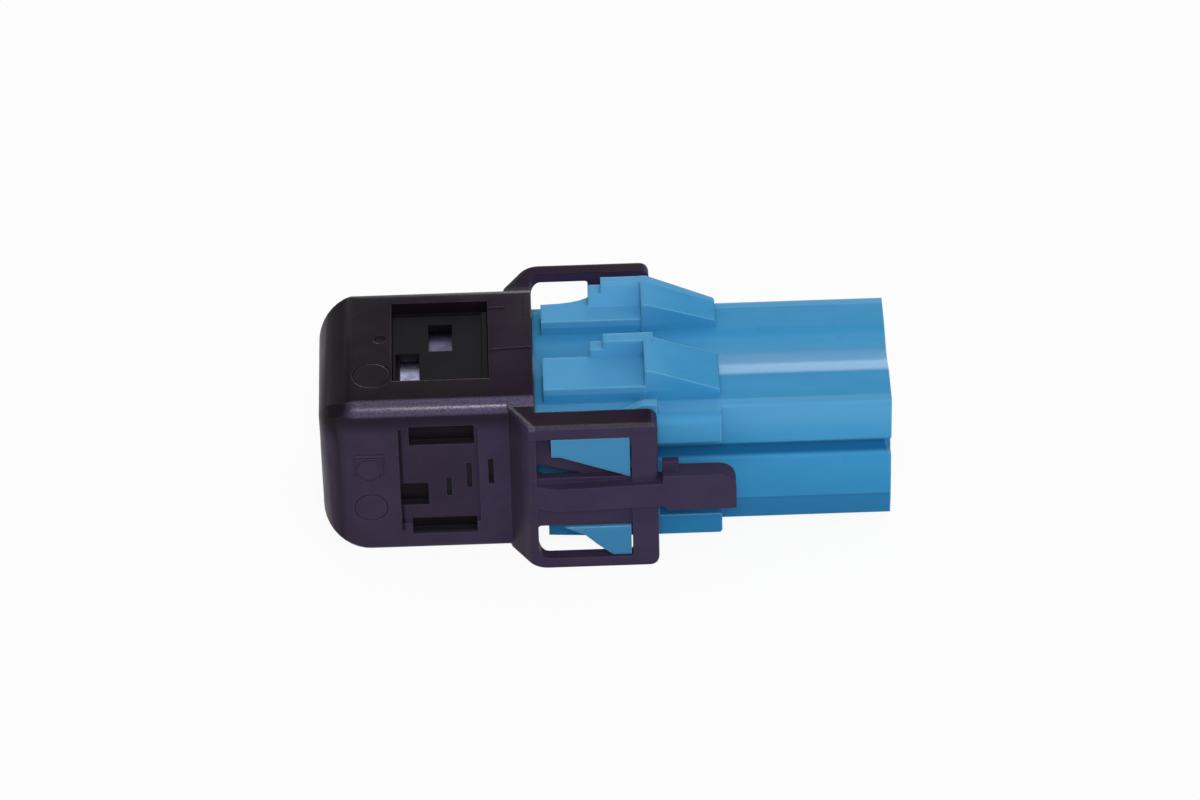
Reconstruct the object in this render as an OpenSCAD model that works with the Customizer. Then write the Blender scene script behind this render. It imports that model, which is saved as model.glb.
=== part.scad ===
// Four-way coaxial automotive connector: black rear housing with guard frames, blue mating housing,
// four crimped coaxial contacts with their cable seals, and a sliding terminal lock.
// Lengths run along X from the cable end to the mating end, and the connector rests on its flat bottom.

/* [Rear housing] */
// Length of the rear housing, cable end to front rim
body_l = 17.2; // [16.8:0.05:18]
// Width of the rear housing
body_w = 15.1; // [14.8:0.1:16]
// Height of the rear housing
body_h = 14.85; // [14.6:0.05:16]
// Radius round the cable end
body_end_r = 2.9; // [1.5:0.1:3]
// Radius of the corners of the cable end, seen along their diagonals
body_corner_r = 3.9; // [3.6:0.1:4]
// Radius of the upper long edges
body_edge_r = 1.0; // [0.5:0.1:1.2]
// Radius of the lower long edges
body_foot_r = 0.6; // [0.3:0.1:0.8]
// How far the contacts' middle plane lies under the body's middle
axis_drop = 0.325; // [0.2:0.025:0.4]
// Thickness of the block that holds the cable seals
seal_block_l = 4.9; // [4.7:0.1:5.2]
// Depth of the wall recess on the front side
panel_depth = 0.25; // [0.1:0.05:0.3]
// Width of the moulded slots in the front side
slot_l = 5.2; // [4:0.05:5.5]
// Height of the upper slot
upper_slot_h = 2.1; // [1:0.1:2.2]
// Height of the lower slot
lower_slot_h = 1.5; // [1:0.1:2]
// Depth of the slots and of the square hole
slot_depth = 0.9; // [0.5:0.1:1]

/* [Guard frames] */
// How far before the rim the flares of the guard frames start
flare_set = 2.1; // [1.9:0.05:2.6]
// Length of the flare
flare_l = 1.9; // [1.4:0.1:2]
// How far the guard frames stand out from the body
guard_reach = 2.8; // [2.6:0.1:3.5]
// How far the frames' top lies under the body's top
guard_drop = 0.25; // [0.1:0.05:0.4]
// Length of the guard frames, from the front rim
guard_l = 9.7; // [9.4:0.05:10.5]
// Thickness of the frame walls
guard_t = 1.0; // [0.8:0.05:1.2]
// Height of the front frame's top bar
guard_top_h = 1.3; // [1:0.1:1.5]
// Height of the back frame's top bar
back_top_h = 0.9; // [0.7:0.05:1.2]
// Height of the bottom bar
guard_bottom_h = 0.95; // [0.8:0.05:1.2]
// Depth of the front frame's top bar
guard_lip = 1.95; // [1.5:0.05:2.1]
// Width of the bar at the free end, front frame
guard_end_bar = 2.1; // [1.8:0.1:2.6]
// Width of the solid end of the back frame
back_end_bar = 5.0; // [3:0.1:6]
// Height of the middle band of each frame
guard_band_h = 4.9; // [4.5:0.1:5.2]
// Height of the middle band's lower edge
guard_band_z = 4.15; // [3.8:0.05:4.4]
// Depth of the recess round the middle band of the front frame
band_recess = 0.35; // [0.2:0.05:0.5]
// Radius of the frame corners
guard_r = 0.8; // [0.4:0.1:1]

/* [Finger arm] */
// How far the arm stands proud of its frame
arm_proud = 0.55; // [0.3:0.05:0.8]
// Height of the arm
arm_h = 2.28; // [1.8:0.02:2.6]
// Rise of the arm along its length
arm_rise = 0.35; // [0:0.05:0.5]
// Length of the head past the frame
head_l = 6.2; // [5:0.1:7]
// Height of the head
head_h = 3.5; // [3:0.1:4]

/* [Front housing] */
// Overall length, cable end to mating end
overall_l = 45.7; // [44:0.1:48]
// Width of the mating section
plug_w = 13.3; // [13:0.1:13.5]
// Height of the mating section
plug_h = 12.2; // [11.8:0.1:12.4]
// Wall between the tail and the outside of the rear housing
tail_wall = 1.0; // [0.8:0.05:1.2]
// Length of the tail inside the rear housing
tail_l = 4.75; // [4.5:0.05:4.8]
// Depth of the valley along the top
valley_depth = 0.6; // [0.3:0.05:0.7]
// Half width of the valley at its top
valley_w = 2.8; // [2.2:0.05:3]
// Rounding of the valley's upper edges
valley_r = 3; // [1.5:0.1:4]
// Depth of the side grooves
groove_depth = 0.95; // [0.5:0.05:1]
// Height of the side grooves' mouth
groove_h = 1.6; // [1:0.1:1.8]
// Depth of the grooves' lead-in at the mating end
groove_lead = 0.45; // [0.2:0.05:0.6]
// Height of the tapered foot of the sides
foot_h = 2.6; // [2:0.1:3]
// Inset of the tapered foot
foot_inset = 0.5; // [0.2:0.05:0.7]

/* [Top barbs] */
// Height of the barb tips above the top face
barb_h = 2.95; // [2:0.05:3.5]
// Height of the barb arms above the top face
barb_arm_h = 1.45; // [1:0.05:1.8]
// Height of the barb ends above the top face
barb_end_h = 0.65; // [0.4:0.05:1.2]
// Start of the barb arms, from the front rim
barb_start = 0.75; // [0.5:0.05:1.5]
// Length from arm start to barb tip
barb_arm_l = 8.1; // [7.5:0.1:8.5]
// Length of the ramp in front of the tip
barb_ramp_l = 6.0; // [5:0.1:7]
// Length of the barbs' ridge at full height
ridge_l = 3.2; // [2.5:0.1:4]
// Length of the lower step behind the ridge
ridge_step_l = 1.05; // [0.7:0.05:1.3]
// Height of the lower step under the ridge
ridge_step_h = 0.75; // [0.5:0.05:0.9]

/* [Side keys] */
// How far the side keys stand out from the mating section
key_out = 1.5; // [1:0.05:1.55]
// Height of the upper side key
key_upper_h = 2.6; // [2:0.05:3]
// Height of the lower side key
key_lower_h = 1.95; // [1.5:0.05:2.3]
// Length of the keys past the frame
key_l = 5.15; // [4:0.05:6]
// Radius along the upper key's top edge
key_r = 0.7; // [0.3:0.1:0.8]
// Height of the ramp on top of the upper key
key_ramp_h = 1.0; // [0.7:0.05:1.2]
// Gap between a lance and the edges of its window
lance_gap = 0.12; // [0.08:0.01:0.2]

/* [Coaxial contacts] */
// Distance between contacts across the width
pitch_y = 6.4; // [6.2:0.1:6.5]
// Distance between contacts in height
pitch_z = 5.7; // [5.5:0.1:5.8]
// Radius of the mating silos
silo_r = 2.4; // [2.2:0.05:2.45]
// Depth of the mating silos
silo_l = 8.2; // [6:0.1:9]
// Outer radius of the contact shell
shell_r = 1.6; // [1.5:0.05:1.7]
// Wall of the contact shell
shell_wall = 0.3; // [0.25:0.05:0.35]
// Radius of the contact shell's collar
collar_r = 1.9; // [1.8:0.05:1.95]
// Radius of the shell's crimp tail
stem_r = 1.2; // [1.1:0.05:1.25]
// Radius of the centre contact
pin_r = 0.45; // [0.35:0.05:0.5]
// Side of the square crimp ferrule
ferrule_w = 4.7; // [4.2:0.05:4.8]
// Corner radius of the crimp ferrule
ferrule_corner = 0.8; // [0.5:0.1:1.2]
// Space between the seals and the crimp ferrules
ferrule_space = 1.4; // [1:0.1:2]

/* [Cable seals] */
// Cable radius that the seals take
cable_r = 1.5; // [1.3:0.05:1.6]
// Outer radius of the seals
seal_r = 2.3; // [2.1:0.05:2.4]
// Length of the seals
seal_l = 3.9; // [3:0.1:3.95]
// Thickness of the rear wall behind the seals
seal_stop = 0.9; // [0.7:0.05:1]

/* [Terminal lock] */
// Length of the lock pocket along the connector
pocket_l = 7.75; // [7.4:0.05:8]
// Width of the lock pocket
pocket_w = 9.95; // [9.7:0.05:10.2]
// Depth of the lock pocket
pocket_depth = 1.25; // [1.1:0.05:1.3]
// Thickness of the lock plate
lock_t = 0.7; // [0.6:0.05:0.8]
// Thickness of the lock gate
gate_t = 0.9; // [0.7:0.05:0.95]
// Height of the rib at the plate's end
lock_rib_h = 0.2; // [0.1:0.05:0.3]
// Travel of the lock from locked to open
lock_travel = 1.1; // [0.8:0.05:1.2]
// Distance from the lock pocket's end to the gate
gate_offset = 5.35; // [5:0.05:5.6]
// Distance from the pocket's front edge to the front side
pocket_edge = 3.35; // [3.2:0.05:3.6]
// Length of the lock's windows
lock_window_l = 1.9; // [1.5:0.05:2]
// Width of the lock's windows
lock_window_w = 3.35; // [2.8:0.05:3.5]
// Distance from the plate's end to the front window
front_window_x = 0.25; // [0.2:0.05:0.6]
// Distance from the plate's end to the back window
back_window_x = 2.9; // [2.4:0.05:3]
// Distance from the plate's front edge to the front window
front_window_y = 0.6; // [0.4:0.05:0.7]
// Distance from the plate's front edge to the back window
back_window_y = 4.2; // [4.1:0.05:4.6]

/* [Hidden] */
$fn = 48;

eps = 0.01;
fit_gap = 0.05;
slide_gap = 0.1;

black_plastic = [0.17, 0.14, 0.2];
blue_plastic = [0.25, 0.56, 0.76];

mid_z = body_h / 2;
axis_z = mid_z - axis_drop;
side_y = body_w / 2;
guard_y = side_y + guard_reach;
guard_end = body_l + guard_l;
flare_x = body_l - flare_set;
guard_h = body_h - guard_drop;

// Cavity behind the rim: it takes the front housing's tail with a close fit
tail_w = body_w - 2 * tail_wall - 2 * fit_gap;
tail_h = plug_h - 1.0;
cavity_w = tail_w + 2 * fit_gap;
cavity_h = tail_h + 2 * fit_gap;
tail_x = body_l - tail_l;
tail_r = 0.6;
plug_x = body_l + fit_gap;
plug_top = axis_z + plug_h / 2;
plug_base = axis_z - plug_h / 2;
plug_side = plug_w / 2;
plug_root = plug_top - 0.5;
groove_z = axis_z + 1.4;

// Top barbs
arm_start = plug_x + barb_start;
tip_x = arm_start + barb_arm_l;
arm_top = plug_top + barb_arm_h;

// Windows of the guard frames
window_x = body_l + fit_gap;
window_end = guard_end - guard_end_bar;
upper_window_z = guard_band_z + guard_band_h;
upper_window_top = guard_h - guard_top_h;

// Finger arm, merged with the front frame's end nearest the body
arm_z = axis_z - 0.9;
head_x = guard_end + 0.35;
head_z = arm_z - 0.1;
arm_back = guard_y - guard_t;

// Lock pocket in the top wall, and the gate that drops from it behind the contact shells
gate_x = tail_x - gate_t - 0.25;
pocket_x = gate_x - gate_offset;
pocket_y = -side_y + pocket_edge;
pocket_floor = body_h - pocket_depth;
ledge = 0.6;
lock_x = pocket_x + slide_gap / 2;
lock_l = pocket_l - slide_gap;
lock_y = pocket_y + slide_gap / 2;
lock_w = pocket_w - lock_travel - slide_gap;
lock_z = pocket_floor + fit_gap;

// Contacts: the shell's shoulder stands just in front of the gate
shoulder_x = gate_x + gate_t + slide_gap;
collar_x = body_l + 1.6;
collar_l = 1.4;
shell_front = overall_l - silo_l - 0.2;
seal_x = seal_stop + fit_gap;
ferrule_x = seal_x + seal_l + ferrule_space;
ferrule_front = gate_x - slide_gap;
stem_x = ferrule_x + 0.6;
stem_bore = stem_r - 0.25;

// Places of the four contacts, upper row first
places = [for (z = [1, -1], y = [1, -1]) [y * pitch_y / 2, axis_z + z * pitch_z / 2]];

// Points of the outline through the corners [x, y, radius], each rounded by its own radius
function rounded(path, steps = 6) = [
    for (i = [0 : len(path) - 1])
        let (before = path[(i + len(path) - 1) % len(path)], here = path[i], after = path[(i + 1) % len(path)])
        each here[2] > 0 ? fillet(before, here, after, steps) : [[here[0], here[1]]]
];

// Arc that is tangent to both edges at the corner here
function fillet(before, here, after, steps) =
    let (
        corner = [here[0], here[1]],
        back = unit([before[0], before[1]] - corner),
        ahead = unit([after[0], after[1]] - corner),
        half = acos(max(-1, min(1, back * ahead))) / 2,
        centre = corner + unit(back + ahead) * here[2] / sin(half),
        first = corner + back * here[2] / tan(half) - centre,
        turn = (cross(back, ahead) < 0 ? 1 : -1) * (180 - 2 * half)
    )
    [for (i = [0 : steps]) centre + spin(first, turn * i / steps)];

function unit(v) = v / norm(v);
function spin(v, a) = [v[0] * cos(a) - v[1] * sin(a), v[0] * sin(a) + v[1] * cos(a)];

// Corners of a rectangle from low to high, all with radius r
function box_path(low, high, r = 0) = [
    [low[0], low[1], r], [high[0], low[1], r], [high[0], high[1], r], [low[0], high[1], r]
];

module along_x(x0, x1) {
    translate([x0, 0, 0]) rotate([90, 0, 90]) linear_extrude(x1 - x0) children();
}

module along_y(y0, y1) {
    translate([0, y1, 0]) rotate([90, 0, 0]) linear_extrude(y1 - y0) children();
}

module along_z(z0, z1) {
    translate([0, 0, z0]) linear_extrude(z1 - z0) children();
}

module block(low, high) {
    translate(low) cube(high - low);
}

// Round bar or bore along X at a place [y, z]
module rod(place, x0, x1, r) {
    translate([x0, place[0], place[1]]) rotate([0, 90, 0]) cylinder(h = x1 - x0, r = r);
}

// The connector is modelled from the cable end and then centred over its footprint
module seated() {
    translate([-overall_l / 2, arm_proud / 2, 0]) children();
}

// ---- rear housing ----

// Outline of the body seen from one side: rounded at the cable end only
function capsule(half, r) = [[0, -half, r], [body_l, -half, 0], [body_l, half, 0], [0, half, r]];

// The same outline turned about the long axis, which rounds the corners of the cable end
module corner_block(turn) {
    half = (side_y + mid_z) * cos(45) - body_foot_r * (sqrt(2) - 1);
    translate([0, 0, mid_z]) rotate([turn, 0, 0]) along_z(-body_w, body_w)
        polygon(rounded(capsule(half, body_corner_r), 10));
}

module body_block() {
    intersection() {
        along_z(0, body_h) polygon(rounded(capsule(side_y, body_end_r), 10));
        along_y(-side_y, side_y) translate([0, mid_z]) polygon(rounded(capsule(mid_z, body_end_r), 10));
        corner_block(45);
        corner_block(-45);
        along_x(0, body_l) polygon(rounded([
            [-side_y, 0, body_foot_r], [side_y, 0, body_foot_r],
            [side_y, body_h, body_edge_r], [-side_y, body_h, body_edge_r]
        ]));
    }
}

// Flare and guard wall on one side, seen from above; side is 1 at the back and -1 at the front
module guard_plan(side) {
    scale([1, side]) polygon(rounded([
        [flare_x - 0.3, side_y - 1, 0], [flare_x, side_y, 0],
        [flare_x + flare_l, guard_y, 1.8], [guard_end, guard_y, 0.3],
        [guard_end, guard_y - guard_t, 0.2], [body_l, guard_y - guard_t, 0.8],
        [body_l, side_y - 1, 0]
    ]));
}

module guard_wall(side) {
    intersection() {
        along_z(0, guard_h) guard_plan(side);
        along_y(-guard_y - 1, guard_y + 1) polygon(rounded([
            [0, 0, 0], [guard_end, 0, guard_r], [guard_end, guard_h, guard_r], [0, guard_h, 0]
        ]));
    }
}

// Top bar of the front frame, deeper than its wall
module guard_lip_bar() {
    bar_x = body_l - 0.5;
    intersection() {
        along_y(-guard_y, -guard_y + guard_lip) polygon(rounded([
            [bar_x, upper_window_top, 0], [guard_end, upper_window_top, 0.2],
            [guard_end, guard_h, guard_r], [bar_x, guard_h, 0]
        ]));
        along_z(0, guard_h) polygon(rounded([
            [bar_x, 0, 0], [guard_end, 0, 0], [guard_end, -guard_y, 0.3], [bar_x, -guard_y, 0]
        ]));
    }
}

// Upper and lower window of one frame; top is the upper window's upper edge
module guard_windows(side, end_bar, top) {
    y_low = side > 0 ? side_y : -guard_y - 1;
    x_end = guard_end - end_bar;
    upper_r = side > 0 ? guard_r : 0.25;
    along_y(y_low, y_low + guard_reach + 1) {
        polygon(rounded([
            [window_x, upper_window_z, 0.25], [x_end, upper_window_z, 0.25],
            [x_end, top, 0.25], [window_x, top, upper_r]
        ]));
        polygon(rounded([
            [window_x, guard_bottom_h, guard_r], [x_end, guard_bottom_h, 0.25],
            [x_end, guard_band_z, 0.25], [window_x, guard_band_z, 0.25]
        ]));
    }
}

// Recess in the front frame above and below the arm
module band_cut() {
    along_y(-guard_y - eps, -guard_y + band_recess)
        polygon(rounded(box_path([window_x, guard_band_z - 0.3], [window_end, upper_window_z + 0.3])));
}

// Brace behind the upper window of the front frame, just under the lance
module brace() {
    along_y(-arm_back - eps, -arm_back + 0.8) polygon([
        [body_l - 0.1, upper_window_top - eps], [window_x + 1.1, upper_window_top - eps],
        [window_x + 1.1, upper_window_z + 2.05], [window_x + 1.9, upper_window_z + 1.95],
        [window_end + 0.5, upper_window_z - 0.6], [window_end + 0.5, upper_window_z - 1.5],
        [window_end - 1.0, upper_window_z - 1.2], [window_end - 2.9, upper_window_z - 0.35],
        [window_x, upper_window_z + 1.0], [body_l - 0.1, upper_window_z + 1.0]
    ]);
}

// Finger arm over the front frame's middle band, with its head; it leaves the frame at a slant
module finger_arm() {
    head_end = head_x + head_l - 0.35;
    intersection() {
        along_y(-guard_y - arm_proud, -arm_back) {
            polygon([
                [window_x - 1, arm_z], [head_x + 0.5, arm_z + arm_rise],
                [head_x + 0.5, arm_z + arm_rise + arm_h], [window_x - 1, arm_z + arm_h]
            ]);
            polygon(rounded([
                [head_x, head_z + 0.5, 0], [head_x + 0.45, head_z, 0.2], [head_end, head_z, 0.2],
                [head_end, head_z + head_h, 1.4], [head_x, head_z + head_h, 0]
            ]));
        }
        along_z(0, body_h) polygon([
            [window_x - 0.3, -arm_back], [window_x - 0.3, -guard_y + 0.2], [window_x, -guard_y],
            [window_x + 1.6, -guard_y - arm_proud], [head_end, -guard_y - arm_proud], [head_end, -arm_back]
        ]);
    }
    along_y(-arm_back - 0.6, -arm_back)
        polygon(rounded(box_path([head_x, head_z + 1], [head_x + 1.3, head_z + head_h + 0.7])));
}

// Slots, square hole, recess and small marks on the front side
module front_side_cuts() {
    front = -side_y - eps;
    panel_x = 6.3;
    panel_top = body_h - 2.3;
    upper_slot_z = body_h - 2.05 - upper_slot_h;
    lower_slot_z = 1.65;
    hole = [panel_x + 2.25, 4.5, 2.3];
    slot_x = panel_x + 0.85;
    slit_w = 0.42;
    slit_depth = 0.5;
    along_y(front, -side_y + panel_depth)
        polygon(rounded(box_path([panel_x, lower_slot_z + 1.15], [slot_x + slot_l + 0.3, panel_top])));
    block([slot_x, front, upper_slot_z], [slot_x + slot_l, -side_y + slot_depth, upper_slot_z + upper_slot_h]);
    block([slot_x, front, lower_slot_z], [slot_x + slot_l, -side_y + slot_depth, lower_slot_z + lower_slot_h]);
    block([panel_x, front, hole[1]], [hole[0], -side_y + slot_depth, hole[1] + hole[2]]);
    for (slit = [[10.0, 5.4, 1.85], [11.65, 6.2, 2.5], [13.4, 6.65, 2.6]])
        block([slit[0], front, slit[1]], [slit[0] + slit_w, -side_y + slit_depth, slit[1] + slit[2]]);
    translate([3.9, -side_y, 4.6]) rotate([90, 0, 0]) ring_mark(1.38);
}

// Shallow ring left by an ejector pin
module ring_mark(r) {
    difference() {
        cylinder(h = 0.2, r = r, center = true);
        cylinder(h = 0.3, r = r - 0.12, center = true);
    }
}

module seal_bores() {
    for (place = places) {
        rod(place, -1, seal_stop + eps, cable_r + 0.3);
        rod(place, seal_stop, seal_block_l + 1, seal_r + fit_gap);
    }
}

// Open pocket in the top wall, with a ledge that carries the lock plate
module lock_pocket() {
    block([pocket_x, pocket_y, pocket_floor], [pocket_x + pocket_l, pocket_y + pocket_w, body_h + 1]);
    block(
        [pocket_x + ledge, pocket_y + ledge, axis_z],
        [pocket_x + pocket_l - ledge, pocket_y + pocket_w - ledge, body_h]
    );
}

module rear_housing() {
    color(black_plastic) seated() difference() {
        union() {
            difference() {
                union() {
                    body_block();
                    for (side = [1, -1]) guard_wall(side);
                    guard_lip_bar();
                }
                guard_windows(-1, guard_end_bar, upper_window_top);
                guard_windows(1, back_end_bar, guard_h - back_top_h);
                band_cut();
            }
            brace();
            finger_arm();
        }
        along_x(seal_block_l, body_l + 1) polygon(rounded(box_path(
            [-cavity_w / 2, axis_z - cavity_h / 2], [cavity_w / 2, axis_z + cavity_h / 2], tail_r + fit_gap
        )));
        seal_bores();
        lock_pocket();
        front_side_cuts();
        translate([pocket_x - 1.6, -3.35, body_h]) ring_mark(1.55);
        translate([pocket_x - 0.95, 1.2, body_h]) cylinder(h = 0.2, r = 0.5, center = true);
    }
}

// ---- front housing ----

// Cross-section of the mating section, seen from the mating end
module plug_section() {
    half = rounded([
        [0, plug_base, 0], [plug_side - foot_inset, plug_base, 0.4],
        [plug_side, plug_base + foot_h, 0.4],
        [plug_side, groove_z - groove_h / 2, 0.15], [plug_side - groove_depth, groove_z + 0.1, 0.15],
        [plug_side, groove_z + groove_h / 2, 0.15],
        [plug_side, plug_top, 0.25], [valley_w, plug_top, valley_r],
        [0.8, plug_top - valley_depth, 2], [0, plug_top - valley_depth, 0]
    ]);
    polygon(half);
    mirror([1, 0]) polygon(half);
}

// Lead-in at the mating end of the side grooves
module groove_leads() {
    for (side = [1, -1]) scale([1, side, 1])
        along_y(plug_side - groove_depth - 0.15, plug_side + 1) polygon([
            [overall_l + 1, groove_z + groove_h / 2 - 0.1], [overall_l, groove_z + groove_h / 2 - 0.1],
            [overall_l - groove_lead, groove_z], [overall_l, groove_z - groove_h / 2 - 0.3],
            [overall_l + 1, groove_z - groove_h / 2 - 0.3]
        ]);
}

// Cross-section of a ridge up to a height: its front face leans back from the arm to the full height
module ridge_section(crease_y, top_y, back_y, top) {
    lean = (top_y - crease_y) / (barb_h - barb_arm_h);
    polygon([
        [crease_y, plug_root], [crease_y, arm_top], [crease_y + lean * (top - arm_top), top],
        [back_y, top], [back_y, plug_root]
    ]);
}

// Full ridge up to the tip, with a lower step behind it
module barb_ridge(crease_y, top_y, back_y, over) {
    along_x(tip_x - ridge_l, tip_x + over) ridge_section(crease_y, top_y, back_y, plug_top + barb_h);
    along_x(tip_x - ridge_l - ridge_step_l, tip_x - ridge_l + eps)
        ridge_section(crease_y, top_y, back_y, plug_top + barb_h - ridge_step_h);
}

// Ramp from the tip down to its end; near and far are its Y edges at the two places
module barb_ramp(near, far) {
    intersection() {
        along_y(near[0] - 1, near[1] + 1) polygon(rounded([
            [tip_x, plug_root, 0], [tip_x + barb_ramp_l, plug_root, 0],
            [tip_x + barb_ramp_l, plug_top + barb_end_h, 0.3], [tip_x + 0.5, plug_top + barb_h, 0.2],
            [tip_x, plug_top + barb_h, 0]
        ]));
        along_z(plug_root - 0.5, plug_top + barb_h + 1) polygon([
            [tip_x, near[0]], [tip_x + barb_ramp_l, far[0]], [tip_x + barb_ramp_l, far[1]], [tip_x, near[1]]
        ]);
    }
}

// Two keyed barbs: the back one's arm widens to a leaning ridge, the front one's ridge stands upright
module top_barbs() {
    back_arm = [2.95, 5.2, 6.0];
    back_crease = 4.75;
    back_ridge = [6.05, 6.65];
    front_arm = [-5.65, -1.65];
    front_crease = front_arm[1] - 0.1;
    front_ridge = [front_arm[1], -0.65];
    front_ridge_over = 0.8;
    step_x = tip_x - ridge_l - ridge_step_l;
    along_z(plug_root, arm_top) {
        polygon([
            [arm_start, back_arm[0]], [tip_x + eps, back_arm[0]], [tip_x + eps, back_arm[2]],
            [step_x, back_arm[2]], [step_x - 0.7, back_arm[1] + 0.42], [step_x - 1.5, back_arm[1] + 0.2],
            [step_x - 2.4, back_arm[1] + 0.08], [arm_start, back_arm[1]]
        ]);
        polygon([
            [arm_start, front_arm[0]], [tip_x + eps, front_arm[0]], [tip_x + eps, front_arm[1]],
            [arm_start, front_arm[1]]
        ]);
    }
    barb_ridge(back_crease, back_ridge[0], back_ridge[1], eps);
    barb_ramp([back_arm[0] - 0.15, back_ridge[1] + 0.05], [back_arm[0] + 0.55, back_ridge[1] - 0.3]);
    barb_ridge(front_crease, front_ridge[0], front_ridge[1], front_ridge_over);
    barb_ramp([front_arm[0] + 0.05, -1.2], [front_arm[0] + 0.3, front_ridge[1] - 0.15]);
}

// Keys on the front side: each has a long pad and a lance that snaps into its frame window
module side_keys() {
    pad_x = plug_x + 0.85;
    pad_end = guard_end + key_l;
    pad_y = -plug_side - key_out;
    ramp_x = guard_end - 3.3;
    base = plug_base + 0.3;
    lance_y = -guard_y + 0.15;
    lance_x = window_x + 1.2;
    lance_end = window_end - lance_gap;
    along_x(pad_x, pad_end) polygon(rounded([
        [pad_y, plug_top - key_upper_h, 0.2], [1 - plug_side, plug_top - key_upper_h, 0],
        [1 - plug_side, plug_top, 0], [pad_y, plug_top, key_r]
    ]));
    along_y(pad_y + key_r, -plug_side - 0.05) polygon(rounded([
        [ramp_x, plug_top - 1, 0], [guard_end + 0.1, plug_top - 1, 0],
        [guard_end + 0.1, plug_top + key_ramp_h, 0.1], [guard_end - 1.0, plug_top + key_ramp_h, 0.6],
        [ramp_x, plug_top - 0.05, 0]
    ]));
    along_y(pad_y, -plug_side + 1) polygon(rounded([
        [pad_x, base + 0.3, 0], [guard_end - 3.6, base, 0], [pad_end, base, 0.3],
        [pad_end, base + key_lower_h, 0.2], [guard_end + 0.1, base + key_lower_h, 0],
        [guard_end + 0.1, guard_band_z - lance_gap, 0.2], [pad_x, guard_band_z - lance_gap, 0]
    ]));
    along_y(lance_y, pad_y + key_r) polygon([
        [lance_x, upper_window_z + 2.35], [lance_x + 0.7, upper_window_z + 2.3],
        [lance_end, upper_window_z + lance_gap],
        [lance_end, upper_window_top - lance_gap], [lance_x, upper_window_top - lance_gap]
    ]);
    along_y(lance_y, pad_y + eps) polygon(rounded([
        [lance_x + 0.9, guard_band_z - lance_gap, 0], [lance_end - 3.7, guard_band_z - 0.95, 1],
        [lance_end - 2.7, guard_band_z - 2.0, 1], [lance_end - 1.5, guard_bottom_h + lance_gap, 0.5],
        [lance_end, guard_bottom_h + lance_gap, 0], [lance_end, guard_band_z - lance_gap, 0]
    ]));
}

module contact_bores() {
    for (place = places) {
        rod(place, overall_l - silo_l, overall_l + 1, silo_r);
        rod(place, collar_x, overall_l - 1, shell_r + fit_gap);
        rod(place, tail_x - 1, collar_x + collar_l + fit_gap, collar_r + fit_gap);
    }
}

module front_housing() {
    color(blue_plastic) seated() difference() {
        union() {
            along_x(plug_x, overall_l) plug_section();
            along_x(tail_x, plug_x + 1) polygon(rounded(box_path(
                [-tail_w / 2, axis_z - tail_h / 2], [tail_w / 2, axis_z + tail_h / 2], tail_r
            )));
            top_barbs();
            side_keys();
        }
        contact_bores();
        groove_leads();
    }
}

// ---- coaxial contacts ----

// Turned shell: mating tube, collar behind the silo step and crimp stem
module contact_shell(i) {
    color([0.72, 0.72, 0.76]) seated() translate([0, places[i][0], places[i][1]]) rotate([90, 0, 90])
        rotate_extrude() polygon([
            [stem_bore, stem_x], [stem_r, stem_x], [stem_r, shoulder_x], [shell_r, shoulder_x],
            [shell_r, collar_x], [collar_r, collar_x], [collar_r, collar_x + collar_l],
            [shell_r, collar_x + collar_l], [shell_r, shell_front - 0.2], [shell_r - 0.1, shell_front],
            [shell_r - shell_wall, shell_front], [shell_r - shell_wall, collar_x], [stem_bore, collar_x]
        ]);
}

module dielectric(i) {
    color([0.93, 0.92, 0.88]) seated() difference() {
        union() {
            rod(places[i], collar_x + fit_gap, shell_front - 1.2, shell_r - shell_wall);
            rod(places[i], stem_x + 0.6, collar_x + fit_gap + eps, stem_bore);
        }
        rod(places[i], stem_x, shell_front, pin_r);
    }
}

module centre_contact(i) {
    color([0.83, 0.66, 0.3]) seated() translate([0, places[i][0], places[i][1]]) rotate([90, 0, 90])
        rotate_extrude() polygon([
            [0, stem_x + 0.3], [pin_r, stem_x + 0.3], [pin_r, shell_front - 0.9], [0.15, shell_front - 0.4],
            [0, shell_front - 0.4]
        ]);
}

// Outline of a square ferrule round a contact
module ferrule_outline(place, side, r) {
    low = place - [side / 2, side / 2];
    polygon(rounded(box_path(low, low + [side, side], r)));
}

// Square crimp sleeve on the shell's stem, stepped in at its front end
module crimp_ferrule(i) {
    neck_x = ferrule_front - 0.4;
    color([0.66, 0.65, 0.72]) seated() difference() {
        union() {
            along_x(ferrule_x, neck_x) ferrule_outline(places[i], ferrule_w, ferrule_corner);
            along_x(neck_x - eps, ferrule_front) ferrule_outline(places[i], ferrule_w - 0.8, ferrule_corner);
        }
        rod(places[i], ferrule_x - 1, neck_x - 0.8, cable_r + 0.1);
        rod(places[i], ferrule_x - 1, ferrule_front + 1, stem_r);
    }
}

// Ribbed seal between the cable and the rear housing
module cable_seal(i) {
    ribs = 3;
    rib_pitch = seal_l / ribs;
    color([0.3, 0.32, 0.36]) seated() translate([0, places[i][0], places[i][1]]) rotate([90, 0, 90])
        rotate_extrude() polygon(concat(
            [[cable_r, seal_x], [seal_r - 0.2, seal_x]],
            [for (k = [0 : ribs - 1]) each [
                [seal_r - 0.2, seal_x + k * rib_pitch + 0.25], [seal_r, seal_x + (k + 0.35) * rib_pitch],
                [seal_r, seal_x + (k + 0.65) * rib_pitch], [seal_r - 0.2, seal_x + (k + 1) * rib_pitch - 0.25]
            ]],
            [[seal_r - 0.2, seal_x + seal_l], [cable_r, seal_x + seal_l]]
        ));
}

// ---- terminal lock ----

// Window through the plate, over a pair of ferrules
module lock_window(x, y) {
    block(
        [lock_x + x, lock_y + y, lock_z - eps],
        [lock_x + x + lock_window_l, lock_y + y + lock_window_w, lock_z + lock_t + eps]
    );
}

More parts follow.
